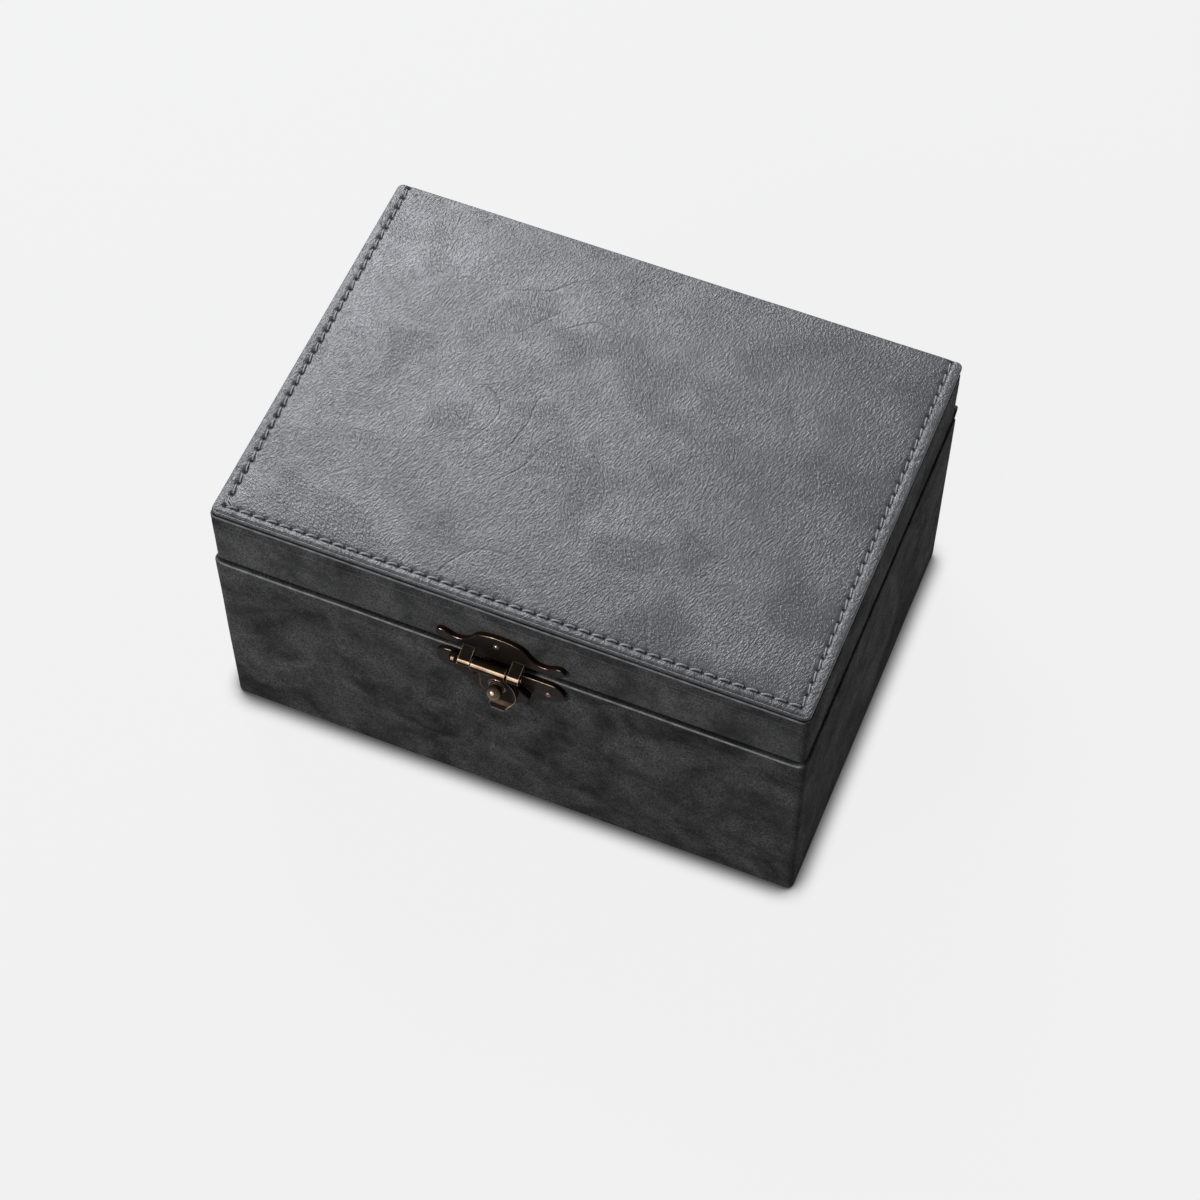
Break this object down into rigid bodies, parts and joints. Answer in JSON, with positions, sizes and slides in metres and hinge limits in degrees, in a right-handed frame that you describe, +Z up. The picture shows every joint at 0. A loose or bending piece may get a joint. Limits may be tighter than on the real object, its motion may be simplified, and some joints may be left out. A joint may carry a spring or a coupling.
{
  "type": "faraday key box",
  "caption": "Leather-covered signal-blocking key box with a hinged lid, shielded velvet-lined inside and a turn-knob hasp on the front.",
  "frame": {"origin": "middle of the base's footprint, on the plane the box stands on", "axes": "+Z up, +X to the box's right as seen from the front, -Y to the front with the latch, +Y to the hinge"},
  "size_m": [0.1516, 0.1192, 0.0812],
  "materials": {
    "leather": "dark grey embossed synthetic leather, satin",
    "board": "raw fibreboard",
    "felt": "black felt",
    "shield_cloth": "silver-grey woven conducting cloth",
    "velvet": "charcoal velvet over board",
    "foam": "soft foam sheet",
    "bronze": "antique bronze, dark with worn bright edges",
    "nail_bronze": "antique bronze nail"
  },
  "bodies": {
    "base": {"base_bottom_board": "board", "base_front_board": "board", "base_back_board": "board", "base_left_board": "board", "base_right_board": "board", "base_leather_wrap": "leather", "base_back_leather": "leather", "base_underside_felt": "felt", "base_shield_liner": "shield_cloth", "base_lining_front": "velvet", "base_lining_back": "velvet", "base_lining_left": "velvet", "base_lining_right": "velvet", "base_floor_pad": "velvet", "spine_fold": "leather", "latch_lower_plate": "bronze", "latch_lower_nails": "nail_bronze"},
    "lid": {"lid_front_board": "board", "lid_back_board": "board", "lid_left_board": "board", "lid_right_board": "board", "lid_top_board": "board", "lid_rim_leather": "leather", "lid_back_leather": "leather", "lid_shield_liner": "shield_cloth", "lid_lining_panel": "velvet", "lid_cover_leather": "leather", "lid_cover_foam": "foam", "latch_upper_plate": "bronze", "latch_upper_nail": "nail_bronze", "latch_hinge_pin": "bronze"},
    "hasp": {"latch_hasp": "bronze", "latch_bush": "bronze"},
    "knob": {"latch_knob": "bronze", "latch_cam": "bronze"}
  },
  "joints": [
    {"name": "lid_hinge", "type": "hinge", "parent": "base", "child": "lid", "pos_m": [0, 0.0541, 0.0619], "axis": [-1, 0, 0], "range_deg": [0, 105], "deforming": ["spine_fold"]},
    {"name": "hasp_hinge", "type": "hinge", "parent": "lid", "child": "hasp", "pos_m": [0, -0.0574, 0.0628], "axis": [-1, 0, 0], "range_deg": [0, 110]},
    {"name": "knob_turn", "type": "hinge", "parent": "hasp", "child": "knob", "pos_m": [0.0007, -0.0585, 0.0589], "axis": [0, 1, 0], "range_deg": [0, 90]}
  ]
}
